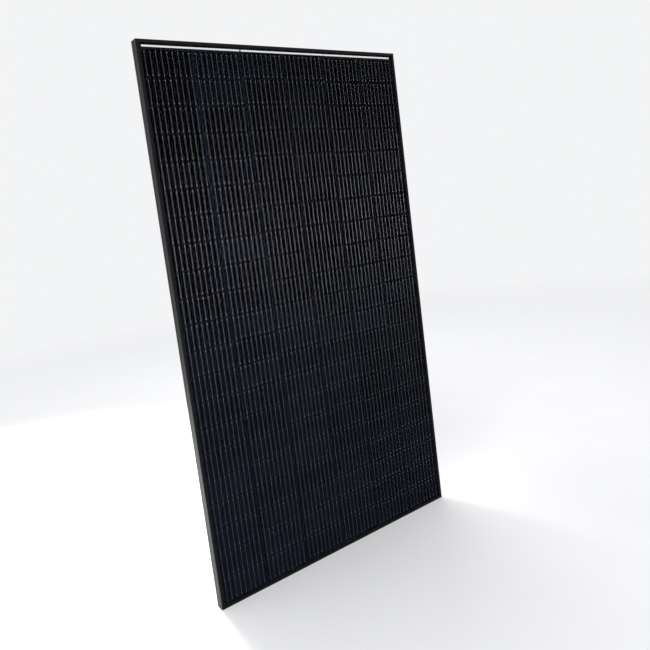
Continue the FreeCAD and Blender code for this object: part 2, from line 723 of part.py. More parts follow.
def ribbon_clamp(x):
    """A spring bridge that holds a lead down on its terminal."""
    foot, inner, thick, rise = CLAMP_HALF_WIDTH, CLAMP_HALF_BRIDGE, CLAMP_THICK, CLAMP_RISE
    y = PLATE_REAR
    points = [(x - foot, y), (x - inner, y), (x - inner, y + rise), (x + inner, y + rise),
              (x + inner, y), (x + foot, y), (x + foot, y + thick), (x + inner + thick, y + thick),
              (x + inner + thick, y + rise + thick), (x - inner - thick, y + rise + thick),
              (x - inner - thick, y + thick), (x - foot, y + thick)]
    return bar_z(points, (BOX_Z + CLAMP_SPAN[0], BOX_Z + CLAMP_SPAN[1]))


def diode_centre(index):
    x = (TERMINAL_XS[index] + TERMINAL_XS[index + 1]) / 2
    return vec(x, PLATE_REAR + DIODE_R + DIODE_CLEARANCE, BOX_Z + DIODE_RISE)


def diode_body(index):
    centre = diode_centre(index)
    half = vec(DIODE_HALF_LENGTH, 0, 0)
    return rod(DIODE_R, centre - half, centre + half)


def diode_lead(index, side):
    centre = diode_centre(index)
    elbow = centre + vec(side * LEAD_REACH, 0, 0)
    foot = vec(elbow.x, PLATE_REAR, elbow.z)
    run = rod(LEAD_R, centre + vec(side * DIODE_HALF_LENGTH, 0, 0), elbow)
    return run.fuse([Part.makeSphere(LEAD_R, elbow), rod(LEAD_R, elbow, foot)])


# --- build --------------------------------------------------------------------------------------
def build_frame():
    for side in ("left", "right", "top", "bottom"):
        export(f"frame_rail_{side}", rail(side))
    for level, height in ((1, "top"), (-1, "bottom")):
        for side, name in ((-1, "left"), (1, "right")):
            export(f"corner_key_{height}_{name}", corner_key(side, level))
    export("edge_sealant", edge_sealant())


def build_laminate():
    export("front_glass", sheet(GLASS_FRONT, GLASS))
    export("front_encapsulant", sheet(GLASS_REAR, FRONT_FILM))
    for column in range(COLUMNS):
        export(f"cell_string_{column + 1}", *cell_string(column))
        export(f"string_wires_{column + 1}", *string_wires(column))
    for i, ends in enumerate(TOP_RIBBON_ENDS, 1):
        export(f"top_ribbon_{i}", top_ribbon(ends))
    for i, ribbon in enumerate(bottom_ribbons(), 1):
        export(f"bottom_ribbon_{i}", ribbon)
    export("ribbon_insulation", insulation_strip())
    window = lead_window((REAR_FILM_Y - OVERRUN, LAMINATE_REAR + OVERRUN))
    export("rear_encapsulant", sheet(REAR_FILM_Y, REAR_FILM).cut(window))
    export("backsheet", sheet(BACKSHEET_Y, BACKSHEET).cut(window))
    export("rating_label", rating_label())


def build_junction_box():
    export("junction_box_adhesive", box_adhesive())
    export("junction_box_base", box_base())
    export("junction_box_lid", box_lid())
    export("lid_gasket", lid_gasket())
    for i in range(len(TERMINAL_XS)):
        export(f"terminal_{i + 1}", terminal(i))
    for i in range(len(TERMINAL_XS) - 1):
        export(f"bypass_diode_{i + 1}", diode_body(i))
    leads = [diode_lead(i, side) for i in range(len(TERMINAL_XS) - 1) for side in (-1, 1)]
    export("bypass_diode_leads", *leads)
    export("ribbon_clamps", *[ribbon_clamp(x) for x in TERMINAL_XS])
    for x, name in zip(GLAND_XS, ("left", "right")):
        export(f"gland_body_{name}", gland_body(x))
        export(f"gland_nut_{name}", gland_nut(x))
        export(f"gland_seal_{name}", gland_seal(x))


os.makedirs("parts", exist_ok=True)
build_frame()
build_laminate()
build_junction_box()
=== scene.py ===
import bmesh
import bpy
import math
from mathutils import Matrix, Vector, noise


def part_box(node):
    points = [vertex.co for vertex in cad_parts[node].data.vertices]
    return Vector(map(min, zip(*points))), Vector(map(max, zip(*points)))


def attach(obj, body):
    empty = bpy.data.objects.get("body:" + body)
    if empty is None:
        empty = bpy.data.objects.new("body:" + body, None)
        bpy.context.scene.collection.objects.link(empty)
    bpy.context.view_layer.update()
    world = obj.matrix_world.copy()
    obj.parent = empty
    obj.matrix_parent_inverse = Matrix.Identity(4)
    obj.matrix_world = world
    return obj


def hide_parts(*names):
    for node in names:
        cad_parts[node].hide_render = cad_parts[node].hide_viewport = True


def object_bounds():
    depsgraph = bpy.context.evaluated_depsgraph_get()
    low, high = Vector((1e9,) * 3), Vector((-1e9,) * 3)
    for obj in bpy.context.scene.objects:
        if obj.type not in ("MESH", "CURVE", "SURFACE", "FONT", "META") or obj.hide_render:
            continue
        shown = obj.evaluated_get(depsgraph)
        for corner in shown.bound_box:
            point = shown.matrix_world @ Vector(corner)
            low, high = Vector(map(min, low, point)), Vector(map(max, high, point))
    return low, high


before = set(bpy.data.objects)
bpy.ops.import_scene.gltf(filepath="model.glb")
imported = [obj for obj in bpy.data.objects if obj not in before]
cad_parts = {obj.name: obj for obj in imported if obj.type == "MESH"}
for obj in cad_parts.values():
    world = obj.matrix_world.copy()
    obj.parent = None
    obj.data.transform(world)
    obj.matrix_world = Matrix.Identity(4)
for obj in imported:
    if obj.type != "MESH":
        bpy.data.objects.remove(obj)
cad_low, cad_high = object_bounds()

# Looks of a framed photovoltaic module with a clip-on junction box. Lengths are in metres.
# X is across the glass, Z up the long side, and the glass faces -Y.
MM = 0.001
PANEL = "panel"

# --- the object's own measures ------------------------------------------------------------------
COLUMNS = 6
ROWS = 21
CELL_HEIGHT = 83 * MM
ROW_PITCH = 85.1 * MM
COLUMN_PITCH = 169 * MM
BUSBARS = 9
BUSBAR_PITCH = 18.08 * MM
RAIL_WIDTH = 10 * MM          # front lip and hollow chamber of the frame extrusion

PRINT_WIDTH = 1.2 * MM        # silver print under each wire
PRINT_PROUD = 0.02 * MM
PAD_WIDTH = 2.1 * MM          # solder pad at both ends of each print line
PAD_HEIGHT = 3.8 * MM
PAD_INSET = 6.6 * MM          # from the cell's edge to the pad's centre
CROWN_WIDTH = 0.8 * MM        # rounded front of a wire
CROWN_RISE = 0.12 * MM
CROWN_STEPS = 4               # flats across a wire's rounded front
SHADE_END = 4.8 * MM           # wires get painted shade this near to a cell's edge, where they dip into the gap
FINGER_PITCH = 1.3 * MM
EDGE_BAND = 4 * MM            # the blue cast along a cell's upright edges sets in over this width
SHADE_FADE = 0.6 * MM          # the painted shade fades in over this length
BONDED_IOR = 1.03             # behind the clear film there is next to no step in index

SEAM_WIDTHS = (0.08 * MM, 0.35 * MM)    # a mitre's hairline: full dark within, gone beyond
ARRIS = 0.5 * MM              # ground edge of the glass
SHEET_BACK = 0.05 * MM        # the front sheet stops this far in front of its film's rear face
RELIEF_SLOPE = (2 * MM, 1 * MM)         # a cell's relief in the backsheet, inside and outside its edge
RELIEF_MIDDLE = 0.49          # the cell's middle, as a share of the column pitch
RELIEF_SHARES = (0.472, 0.49)           # the relief's slope on either side, as shares of the pitch
LABEL_BORDER = 3 * MM
LABEL_LINE = 0.25 * MM        # half the border's line

FRAME_BEAD = (2.4 * MM, 1.5 * MM)       # width and height of the silicone bead inside the frame
FRAME_BEAD_CORNER = 0.3 * MM
FRAME_BEAD_SPACING = 9 * MM
BOX_BEAD = (2.6 * MM, 1.6 * MM)         # width and height of the bead round the junction box
BOX_BEAD_CORNER = 8 * MM
BOX_BEAD_SPACING = 4 * MM
BEAD_STEPS = 5                # points across a bead's rounded back
BEAD_SWELL = 0.35             # a bead is this much uneven
BEAD_LUMPS = 40               # lumps to the metre
BEAD_TAPER = 0.72             # how far a bead draws in towards its crest
ARC_STEPS = 6                 # spans in a rounded corner

# --- camera and studio --------------------------------------------------------------------------
CAMERA_PLACE = (-1.26995, -1.89998, 0.33344)
CAMERA_RIGHT = (0.80057, -0.5861, -0.12476)
CAMERA_UP = (0.16611, 0.01703, 0.98596)
LENS_MM = 35.057
SHIFT_Y = -0.0631
PALE = (0.90, 0.905, 0.915)
FLOOR_RADIUS = 7.0
FLOOR_SIDES = 96
FLOOR_SOLID = 2.2             # the floor fades into the pale surroundings beyond this radius


# --- node helpers -------------------------------------------------------------------------------
class Surface:
    """A Principled material, with short calls for the nodes that feed it."""

    def __init__(self, name, **plain):
        self.material = bpy.data.materials.new(name)
        self.material.use_nodes = True
        self.tree = self.material.node_tree
        self.shader = self.tree.nodes["Principled BSDF"]
        self.place = self.node("ShaderNodeTexCoord").outputs["Object"]
        for socket, value in plain.items():
            self.set(socket.replace("_", " "), value)

    def node(self, kind, **settings):
        made = self.tree.nodes.new(kind)
        for key, value in settings.items():
            setattr(made, key, value)
        return made

    def feed(self, socket, value):
        """Links another socket in, or sets a plain number, vector or colour."""
        if isinstance(value, bpy.types.NodeSocket):
            self.tree.links.new(value, socket)
        elif socket.type == "RGBA" and not isinstance(value, float):
            socket.default_value = (*value, 1.0)
        else:
            socket.default_value = value

    def set(self, socket, value):
        self.feed(self.shader.inputs[socket], value)

    def calc(self, operation, *values):
        made = self.node("ShaderNodeMath", operation=operation)
        for socket, value in zip(made.inputs, values):
            self.feed(socket, value)
        return made.outputs[0]

    def axis(self, name):
        made = self.node("ShaderNodeSeparateXYZ")
        self.feed(made.inputs[0], self.place)
        return made.outputs[name]

    def join(self, *values):
        made = self.node("ShaderNodeCombineXYZ")
        for socket, value in zip(made.inputs, values):
            self.feed(socket, value)
        return made.outputs[0]

    def noise(self, scale, detail=2.0, stretch=(1, 1, 1)):
        """Smooth noise with this many grains to the metre, stretched along each axis."""
        scaled = self.node("ShaderNodeVectorMath", operation="MULTIPLY")
        self.feed(scaled.inputs[0], self.place)
        self.feed(scaled.inputs[1], stretch)
        made = self.node("ShaderNodeTexNoise")
        self.feed(made.inputs["Vector"], scaled.outputs[0])
        self.feed(made.inputs["Scale"], float(scale))
        self.feed(made.inputs["Detail"], detail)
        return made.outputs["Fac"]

    def random(self, *values):
        made = self.node("ShaderNodeTexWhiteNoise")
        self.feed(made.inputs["Vector"], self.join(*values))
        return made.outputs["Value"]

    def spread(self, value, source, target):
        """Maps one range onto another, clamped at both ends."""
        made = self.node("ShaderNodeMapRange")
        self.feed(made.inputs["Value"], value)
        for socket, limit in zip(("From Min", "From Max", "To Min", "To Max"), (*source, *target)):
            self.feed(made.inputs[socket], float(limit))
        return made.outputs["Result"]

    def mix(self, share, first, second):
        made = self.node("ShaderNodeMix", data_type="RGBA")
        colours = [socket for socket in made.inputs if socket.type == "RGBA"]
        self.feed(made.inputs["Factor"], share)
        self.feed(colours[0], first)
        self.feed(colours[1], second)
        return [socket for socket in made.outputs if socket.type == "RGBA"][0]

    def bump(self, height, depth, strength=1.0):
        made = self.node("ShaderNodeBump")
        self.feed(made.inputs["Height"], height)
        self.feed(made.inputs["Distance"], depth)
        self.feed(made.inputs["Strength"], strength)
        self.set("Normal", made.outputs["Normal"])


def wear(name, dark, light, rough, grain, depth, cloud=6.0, **plain):
    """A plain solid finish: cloudy colour, uneven gloss and a fine grain."""
    surface = Surface(name, **plain)
    patches = surface.spread(surface.noise(cloud, 3.0), (0.3, 0.7), (0, 1))
    surface.set("Base Color", surface.mix(patches, dark, light))
    fine = surface.noise(grain, 2.0)
    surface.set("Roughness", surface.spread(fine, (0.3, 0.7), rough))
    surface.bump(fine, depth)
    return surface.material


# --- materials ----------------------------------------------------------------------------------
def anodised(name, stretch):
    """Black anodised extrusion: die lines along the rail, satin gloss, a hairline at each mitre."""
    surface = Surface(name, IOR=1.22)
    half_x = max(-cad_low.x, cad_high.x)
    half_z = max(-cad_low.z, cad_high.z)
    from_side = surface.calc("SUBTRACT", half_x, surface.calc("ABSOLUTE", surface.axis("X")))
    from_end = surface.calc("SUBTRACT", half_z, surface.calc("ABSOLUTE", surface.axis("Z")))
    off_mitre = surface.calc("ABSOLUTE", surface.calc("SUBTRACT", from_side, from_end))
    seam = surface.spread(off_mitre, SEAM_WIDTHS, (1, 0))
    lines = surface.noise(1.0, 3.0, stretch)
    cloud = surface.spread(surface.noise(5.0, 4.0), (0.3, 0.7), (0, 1))
    tone = surface.mix(cloud, (0.0030, 0.0031, 0.0034), (0.0050, 0.0052, 0.0056))
    surface.set("Base Color", surface.mix(seam, tone, (0.001, 0.001, 0.001)))
    surface.set("Roughness", surface.spread(lines, (0.25, 0.75), (0.33, 0.5)))
    surface.bump(surface.calc("SUBTRACT", lines, seam), 0.02 * MM)
    return surface.material


def solar_glass():
    """Low-iron glass with an anti-reflection coat: nearly clear, with a faint satin reflection."""
    surface = Surface("solar_glass", IOR=1.5, Alpha=0.03)
    tint = surface.spread(surface.noise(2.5, 2.0), (0.3, 0.7), (0, 1))
    surface.set("Base Color", surface.mix(tint, (0.004, 0.005, 0.007), (0.010, 0.013, 0.019)))
    rolled = surface.noise(900.0, 1.0)
    smear = surface.noise(7.0, 3.0)
    surface.set("Roughness", surface.spread(smear, (0.3, 0.7), (0.10, 0.18)))
    surface.bump(rolled, 0.004 * MM)
    return surface.material


def row_place(surface, top):
    """Row number, and the distance below that row's upper cell edge, at each point of a string."""
    down = surface.calc("SUBTRACT", top, surface.axis("Z"))
    share = surface.calc("DIVIDE", down, ROW_PITCH)
    row = surface.calc("FLOOR", share)
    below = surface.calc("SUBTRACT", down, surface.calc("MULTIPLY", row, ROW_PITCH))
    return row, below


def cell_tone_and_painted_reflection(surface, column, row):
    """How blue each cell is: bluer and lighter low and at the left, a painted reflection of the surroundings
    in the glass, and a little different for every cell, the cells' own tone.
    """
    own = surface.random(row, float(column), 0.5)
    other = surface.random(row, float(column), 7.5)
    # Painted reflection: the cells turn bluer and lighter towards the bottom and the left, as the glass
    # would reflect the surroundings there.
    low = surface.spread(surface.axis("Z"), (-0.9, 0.4), (1, 0))
    left = surface.spread(surface.axis("X"), (-0.5, 0.5), (1, 0.4))
    share = surface.calc("MULTIPLY", low, left)
    share = surface.calc("ADD", share, surface.calc("MULTIPLY", surface.calc("POWER", own, 3.0), 0.25))
    return surface.calc("MULTIPLY", share, surface.spread(other, (0, 1), (0.75, 1.15)))


def edge_cast(surface, column):
    """The blue cast beyond a cell's outermost wires, strongest near the left of the panel."""
    low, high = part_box(f"cell_string_{column}")
    off_middle = surface.calc("SUBTRACT", surface.axis("X"), (low.x + high.x) / 2)
    last_wire = (BUSBARS - 1) / 2 * BUSBAR_PITCH
    beside = surface.spread(surface.calc("ABSOLUTE", off_middle), (last_wire, last_wire + EDGE_BAND), (0, 1))
    beside = surface.calc("MULTIPLY", beside, surface.spread(surface.axis("X"), (-0.4, 0.0), (1, 0.15)))
    return surface.calc("MULTIPLY", beside, surface.spread(surface.axis("X"), (-0.5, -0.48), (0.2, 1)))


def silicon(column, top):
    """Black solar cells. Each has its own cast, from neutral to blue, with a painted reflection that makes
    them bluer and lighter low and at the left, and fine level print lines.
    """
    surface = Surface(f"silicon_cells_{column}", IOR=BONDED_IOR)
    row, below = row_place(surface, top)
    # share carries each cell's own tone and a painted reflection low and at the left.
    share = cell_tone_and_painted_reflection(surface, column, row)
    base = surface.mix(share, (0.0005, 0.0006, 0.0017), (0.0055, 0.0078, 0.0145))
    crystal = surface.spread(surface.noise(30.0, 3.0), (0.35, 0.65), (0, 1))
    base = surface.mix(surface.calc("MULTIPLY", crystal, 0.25), base, (0.0003, 0.0004, 0.0008))
    base = surface.mix(edge_cast(surface, column), base, (0.0018, 0.0038, 0.0088))
    turn = surface.calc("MULTIPLY", below, 2 * math.pi / FINGER_PITCH)
    finger = surface.spread(surface.calc("COSINE", turn), (-1, 1), (0, 1))
    finger = surface.calc("POWER", finger, 6.0)
    base = surface.mix(surface.calc("MULTIPLY", finger, 0.004), base, (0.25, 0.25, 0.27))
    surface.set("Base Color", base)
    surface.set("Roughness", surface.spread(surface.noise(220.0, 2.0), (0.3, 0.7), (0.38, 0.55)))
    surface.bump(finger, 0.01 * MM)
    return surface.material


def tinned_wire(column, top):
    """Tinned wires, with painted shade where they dip from one cell to the next."""
    surface = Surface(f"tinned_wires_{column}", Metallic=1.0)
    row, below = row_place(surface, top)
    from_edge = surface.calc("MINIMUM", below, surface.calc("SUBTRACT", CELL_HEIGHT, below))
    # Painted shade: the wires darken near each cell's edge, where they bend down into the gap between cells.
    gap_painted_shade = surface.spread(from_edge, (SHADE_END - SHADE_FADE, SHADE_END), (1, 0))
    in_rows = surface.calc("GREATER_THAN", row, -0.5)
    gap_painted_shade = surface.calc("MULTIPLY", gap_painted_shade, in_rows)
    solder = surface.noise(260.0, 3.0)
    patches = surface.spread(solder, (0.3, 0.7), (0, 1))
    bright = surface.mix(patches, (0.048, 0.049, 0.052), (0.066, 0.068, 0.072))
    # The dark colour near the cell edges is painted shade, not a coating on the wire.
    surface.set("Base Color", surface.mix(gap_painted_shade, bright, (0.012, 0.012, 0.014)))
    surface.set("Roughness", surface.spread(solder, (0.3, 0.7), (0.34, 0.42)))
    surface.bump(solder, 0.01 * MM)
    return surface.material


def backsheet():
    """Glossy black film, with the cells' outline showing faintly through as a shallow relief."""
    surface = Surface("rear_film", IOR=1.4)
    low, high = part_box("cell_string_1")
    _, below = row_place(surface, high.z)
    half = CELL_HEIGHT / 2
    above_below = surface.calc("ABSOLUTE", surface.calc("SUBTRACT", below, half))
    grid = surface.spread(above_below, (half - RELIEF_SLOPE[0], half + RELIEF_SLOPE[1]), (1, 0))
    across = surface.calc("DIVIDE", surface.calc("SUBTRACT", surface.axis("X"), low.x), COLUMN_PITCH)
    off_middle = surface.calc("SUBTRACT", surface.calc("FRACT", across), RELIEF_MIDDLE)
    beside = surface.spread(surface.calc("ABSOLUTE", off_middle), RELIEF_SHARES, (1, 0))
    grid = surface.calc("MINIMUM", grid, beside)
    grain = surface.noise(1400.0, 2.0)
    height = surface.calc("ADD", grid, surface.calc("MULTIPLY", grain, 0.06))
    cloud = surface.spread(surface.noise(4.0, 3.0), (0.3, 0.7), (0, 1))
    surface.set("Base Color", surface.mix(cloud, (0.0080, 0.0082, 0.0088), (0.0120, 0.0122, 0.0130)))
    surface.set("Roughness", surface.spread(grain, (0.3, 0.7), (0.30, 0.42)))
    surface.bump(height, 0.06 * MM)
    return surface.material


def blank_label():
    """A pale grey label with a thin darker border line and nothing printed on it."""
    surface = Surface("label_film")
    low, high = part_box("rating_label")
    middle, half = (low + high) / 2, (high - low) / 2
    side = surface.calc("SUBTRACT", surface.axis("X"), middle.x)
    rise = surface.calc("SUBTRACT", surface.axis("Z"), middle.z)
    off_x = surface.calc("SUBTRACT", half.x, surface.calc("ABSOLUTE", side))
    off_z = surface.calc("SUBTRACT", half.z, surface.calc("ABSOLUTE", rise))
    inset = surface.calc("MINIMUM", off_x, off_z)
    off_line = surface.calc("ABSOLUTE", surface.calc("SUBTRACT", inset, LABEL_BORDER))
    line = surface.calc("LESS_THAN", off_line, LABEL_LINE)
    fibre = surface.noise(500.0, 3.0)
    paper = surface.mix(fibre, (0.30, 0.31, 0.32), (0.36, 0.37, 0.38))
    surface.set("Base Color", surface.mix(line, paper, (0.12, 0.12, 0.13)))
    surface.set("Roughness", surface.spread(fibre, (0.3, 0.7), (0.38, 0.5)))
    surface.bump(fibre, 0.01 * MM)
    return surface.material


def plain_materials():
    """The finishes that are the same all over, by name."""
    black = (0.006, 0.006, 0.0065)
    return {
        "rubber": wear("silicone", (0.004, 0.004, 0.004), (0.010, 0.010, 0.010),
                       (0.45, 0.62), 300, 0.05 * MM),
        "film": wear("black_film", black, (0.009, 0.009, 0.010),
                     (0.45, 0.6), 900, 0.01 * MM, IOR=BONDED_IOR),
        "plastic": wear("box_plastic", (0.012, 0.012, 0.013), (0.018, 0.018, 0.020),
                        (0.42, 0.58), 1800, 0.05 * MM, cloud=14.0),
        "nut_plastic": wear("nut_plastic", (0.009, 0.009, 0.010), (0.014, 0.014, 0.015),
                            (0.35, 0.5), 1500, 0.03 * MM, cloud=40.0),
        "gasket": wear("gasket_rubber", (0.03, 0.03, 0.033), (0.05, 0.05, 0.055),
                       (0.6, 0.75), 900, 0.03 * MM),
        "mill": wear("mill_aluminium", (0.50, 0.51, 0.52), (0.68, 0.69, 0.70),
                     (0.3, 0.5), 400, 0.02 * MM, Metallic=1.0),
        "ribbon": wear("tinned_ribbon", (0.90, 0.91, 0.92), (0.98, 0.98, 0.98),
                       (0.30, 0.5), 220, 0.02 * MM, cloud=25.0, Metallic=1.0),
        "copper": wear("terminal_copper", (0.70, 0.40, 0.25), (0.86, 0.56, 0.40),
                       (0.22, 0.38), 350, 0.01 * MM, cloud=60.0, Metallic=1.0),
        "epoxy": wear("diode_epoxy", (0.012, 0.012, 0.013), (0.022, 0.022, 0.024),
                      (0.3, 0.45), 1500, 0.02 * MM),
        "steel": wear("spring_steel", (0.50, 0.51, 0.53), (0.70, 0.71, 0.73),
                      (0.2, 0.35), 500, 0.01 * MM, cloud=50.0, Metallic=1.0),
        "print": wear("silver_print", (0.028, 0.028, 0.030), (0.042, 0.042, 0.045),
                      (0.5, 0.7), 700, 0.005 * MM, cloud=30.0),
        "solder": wear("solder_pads", (0.42, 0.42, 0.45), (0.54, 0.54, 0.58),
                       (0.5, 0.7), 500, 0.01 * MM, cloud=60.0, Metallic=0.2),
    }


# --- mesh helpers -------------------------------------------------------------------------------
def piece(name, verts, faces, material, slot_name, body=PANEL, smooth=False):
    """Makes a mesh piece that rides on a body."""
    mesh = bpy.data.meshes.new(name)
    mesh.from_pydata([tuple(v) for v in verts], [], faces)
    mesh.validate()
    shape = bmesh.new()
    shape.from_mesh(mesh)
    bmesh.ops.recalc_face_normals(shape, faces=shape.faces)
    shape.to_mesh(mesh)
    shape.free()
    for face in mesh.polygons:
        face.use_smooth = smooth
    mesh.materials.append(material)
    made = bpy.data.objects.new(name, mesh)
    bpy.context.scene.collection.objects.link(made)
    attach(made, body)
    return made


def prism(outline, front, rear, verts, faces):
    """Adds a closed prism over an outline of (x, z) points between two y planes."""
    first, count = len(verts), len(outline)
    verts += [(x, y, z) for y in (front, rear) for x, z in outline]
    faces.append(tuple(range(first, first + count)))
    faces.append(tuple(range(first + 2 * count - 1, first + count - 1, -1)))
    for i in range(count):
        after = (i + 1) % count
        faces.append((first + i, first + count + i, first + count + after, first + after))


def line_outline(x, top, bottom):
    half = PRINT_WIDTH / 2
    return [(x - half, top), (x + half, top), (x + half, bottom), (x - half, bottom)]


def pad_outline(x, z):
    """An upright oval of eight corners."""
    points = []
    for i in range(8):
        turn = math.pi * (2 * i + 1) / 8
        points.append((x + PAD_WIDTH / 2 * math.sin(turn), z + PAD_HEIGHT / 2 * math.cos(turn)))
    return points


def bead(name, path, size, y, material, slot_name):
    """A squeezed-out fillet of silicone along a closed path of (point, outward) pairs on plane y."""
    verts, faces = [], []
    width, height = size
    for point, outward in path:
        swell = 1 + BEAD_SWELL * noise.noise(Vector((point[0] * BEAD_LUMPS, point[1] * BEAD_LUMPS, 3.0)))
        ring = [(0.0, 0.0)]
        for k in range(BEAD_STEPS):
            turn = math.pi / 2 * k / (BEAD_STEPS - 1)
            out = (1 - BEAD_TAPER * math.sin(turn)) * math.cos(turn) ** 0.5
            ring.append((width * swell * out, height * swell * math.sin(turn)))
        verts += [(point[0] + outward[0] * u, y + v, point[1] + outward[1] * u) for u, v in ring]
    count = BEAD_STEPS + 1
    for i in range(len(path)):
        after = (i + 1) % len(path)
        for k in range(count):
            beyond = (k + 1) % count
            faces.append((i * count + k, i * count + beyond, after * count + beyond, after * count + k))
    return piece(name, verts, faces, material, slot_name, smooth=True)


def rounded_path(half_x, half_z, centre, radius, spacing, inward=False):
    """Points round a rectangle with rounded corners, each with its direction away from the line."""
    path = []
    sign = -1 if inward else 1
    corners = [(1, 1, 0), (-1, 1, 90), (-1, -1, 180), (1, -1, 270)]
    for number, (side, level, start) in enumerate(corners):
        hub = (side * (half_x - radius), level * (half_z - radius))
        for k in range(ARC_STEPS + 1):
            turn = math.radians(start + 90 / ARC_STEPS * k)
            away = (math.cos(turn), math.sin(turn))
            path.append(((hub[0] + radius * away[0], hub[1] + radius * away[1]), away))
        ahead = corners[(number + 1) % 4]
        end = path[-1][0]
        turn = math.radians(start + 90)
        away = (math.cos(turn), math.sin(turn))
        next_hub = (ahead[0] * (half_x - radius), ahead[1] * (half_z - radius))
        goal = (next_hub[0] + radius * away[0], next_hub[1] + radius * away[1])
        span = math.dist(end, goal)
        pieces = max(1, round(span / spacing))
        for k in range(1, pieces):
            share = k / pieces
            path.append(((end[0] + (goal[0] - end[0]) * share, end[1] + (goal[1] - end[1]) * share), away))
    return [((x + centre[0], z + centre[1]), (sign * u, sign * v)) for (x, z), (u, v) in path]


# --- pieces -------------------------------------------------------------------------------------
def glass_sheet(material):
    """Glass and its bonded clear film as one sheet with ground edges."""
    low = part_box("front_glass")[0]
    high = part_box("front_encapsulant")[1]
    rear = high.y - SHEET_BACK
    rings = []
    for y, inset in ((low.y, ARRIS), (low.y + ARRIS, 0), (rear - ARRIS, 0), (rear, ARRIS)):
        x0, x1, z0, z1 = low.x + inset, high.x - inset, low.z + inset, high.z - inset
        rings.append([(x0, y, z0), (x1, y, z0), (x1, y, z1), (x0, y, z1)])
    verts = [corner for ring in rings for corner in ring]
    faces = [(0, 1, 2, 3), (15, 14, 13, 12)]
    for level in range(3):
        for k in range(4):
            a, b = 4 * level + k, 4 * level + (k + 1) % 4
            faces.append((a, a + 4, b + 4, b))
    sheet = piece("glass_sheet", verts, faces, material, "solar_glass")
    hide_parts("front_glass", "front_encapsulant")
    return sheet


def wire_xs(column):
    """The x of each wire of one string."""
    low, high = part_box(f"cell_string_{column}")
    first = (low.x + high.x) / 2 - (BUSBARS - 1) / 2 * BUSBAR_PITCH
    return [first + i * BUSBAR_PITCH for i in range(BUSBARS)]


def cell_spans(column, inset):
    """The upper and lower z of each cell of one string, drawn in by an inset."""
    tops = [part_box(f"cell_string_{column}")[1].z - row * ROW_PITCH for row in range(ROWS)]
    return [(top - inset, top - CELL_HEIGHT + inset) for top in tops]


def cell_print(column, line, pad):
    """The silver lines and solder pads printed on every cell of one string."""
    cell_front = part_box(f"cell_string_{column}")[0].y
    front, rear = cell_front - PRINT_PROUD, cell_front + PRINT_PROUD / 2
    lines, pads = ([], []), ([], [])
    for top, bottom in cell_spans(column, PAD_INSET):
        for x in wire_xs(column):
            prism(line_outline(x, top, bottom), front, rear, *lines)
            for z in (top, bottom):
                prism(pad_outline(x, z), front - PRINT_PROUD, rear, *pads)
    piece(f"cell_print_{column}", *lines, line, "tinned_wire")
    piece(f"solder_pads_{column}", *pads, pad, "tinned_wire")


def wire_crowns(column, material):
    """The rounded fronts of one string's wires, where they lie on the cells."""
    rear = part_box(f"string_wires_{column}")[0].y + PRINT_PROUD
    turns = [math.pi * k / CROWN_STEPS for k in range(CROWN_STEPS + 1)]
    ring = [(-CROWN_WIDTH / 2 * math.cos(turn), CROWN_RISE * math.sin(turn)) for turn in turns]
    size = len(ring)
    verts, faces = [], []
    for top, bottom in cell_spans(column, SHADE_END):
        levels = (top, top - CROWN_RISE, bottom + CROWN_RISE, bottom)
        for x in wire_xs(column):
            start = len(verts)
            last = start + (len(levels) - 1) * size
            for z in levels:
                verts += [(x + across, rear - rise, z) for across, rise in ring]
            for base in range(start, last, size):
                for k in range(size):
                    after = (k + 1) % size
                    faces.append((base + k, base + after, base + size + after, base + size + k))
            faces.append(tuple(range(start, start + size)))
            faces.append(tuple(range(last + size - 1, last - 1, -1)))
    return piece(f"wire_crowns_{column}", verts, faces, material, "tinned_wire", smooth=True)


def silicone_beads(material):
    """Silicone squeezed out between frame and backsheet, and round the junction box's foot."""
    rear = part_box("backsheet")[1].y
    half_x = cad_high.x - RAIL_WIDTH
    half_z = cad_high.z - RAIL_WIDTH
    inner = rounded_path(half_x, half_z, (0.0, 0.0), FRAME_BEAD_CORNER, FRAME_BEAD_SPACING, inward=True)
    bead("frame_bead", inner, FRAME_BEAD, rear, material, "silicone")
    low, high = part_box("junction_box_adhesive")
    centre = ((low.x + high.x) / 2, (low.z + high.z) / 2)
    half_x, half_z = (high.x - low.x) / 2, (high.z - low.z) / 2
    foot = rounded_path(half_x, half_z, centre, BOX_BEAD_CORNER, BOX_BEAD_SPACING)
    bead("box_bead", foot, BOX_BEAD, rear, material, "silicone")


# --- finishes of the CAD nodes ------------------------------------------------------------------
def dress(nodes, material):
    for name in nodes:
        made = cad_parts[name]
        if made.material_slots:
            made.material_slots[0].material = material
        else:
            made.data.materials.append(material)


def numbered(stem, count):
    return [f"{stem}_{i}" for i in range(1, count + 1)]


def dress_nodes(plain):
    corners = [f"corner_key_{level}_{side}" for level in ("top", "bottom") for side in ("left", "right")]
    dress(["frame_rail_left", "frame_rail_right"], anodised("anodised_upright", (700, 700, 3)))
    dress(["frame_rail_top", "frame_rail_bottom"], anodised("anodised_level", (3, 700, 700)))
    for column in range(1, COLUMNS + 1):
        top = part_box(f"cell_string_{column}")[1].z
        dress([f"cell_string_{column}"], silicon(column, top))
        dress([f"string_wires_{column}"], tinned_wire(column, top))
    dress(numbered("top_ribbon", 3) + numbered("bottom_ribbon", 4), plain["ribbon"])
    dress(corners, plain["mill"])
    dress(["edge_sealant", "junction_box_adhesive"], plain["rubber"])
    dress(["ribbon_insulation", "rear_encapsulant"], plain["film"])
    dress(["backsheet"], backsheet())
    dress(["rating_label"], blank_label())
    dress(["junction_box_base", "junction_box_lid"], plain["plastic"])
    dress(["gland_body_left", "gland_body_right", "gland_nut_left", "gland_nut_right"], plain["nut_plastic"])
    dress(["gland_seal_left", "gland_seal_right", "lid_gasket"], plain["gasket"])
    dress(numbered("terminal", 4), plain["copper"])
    dress(numbered("bypass_diode", 3), plain["epoxy"])
    dress(["bypass_diode_leads", "ribbon_clamps"], plain["steel"])


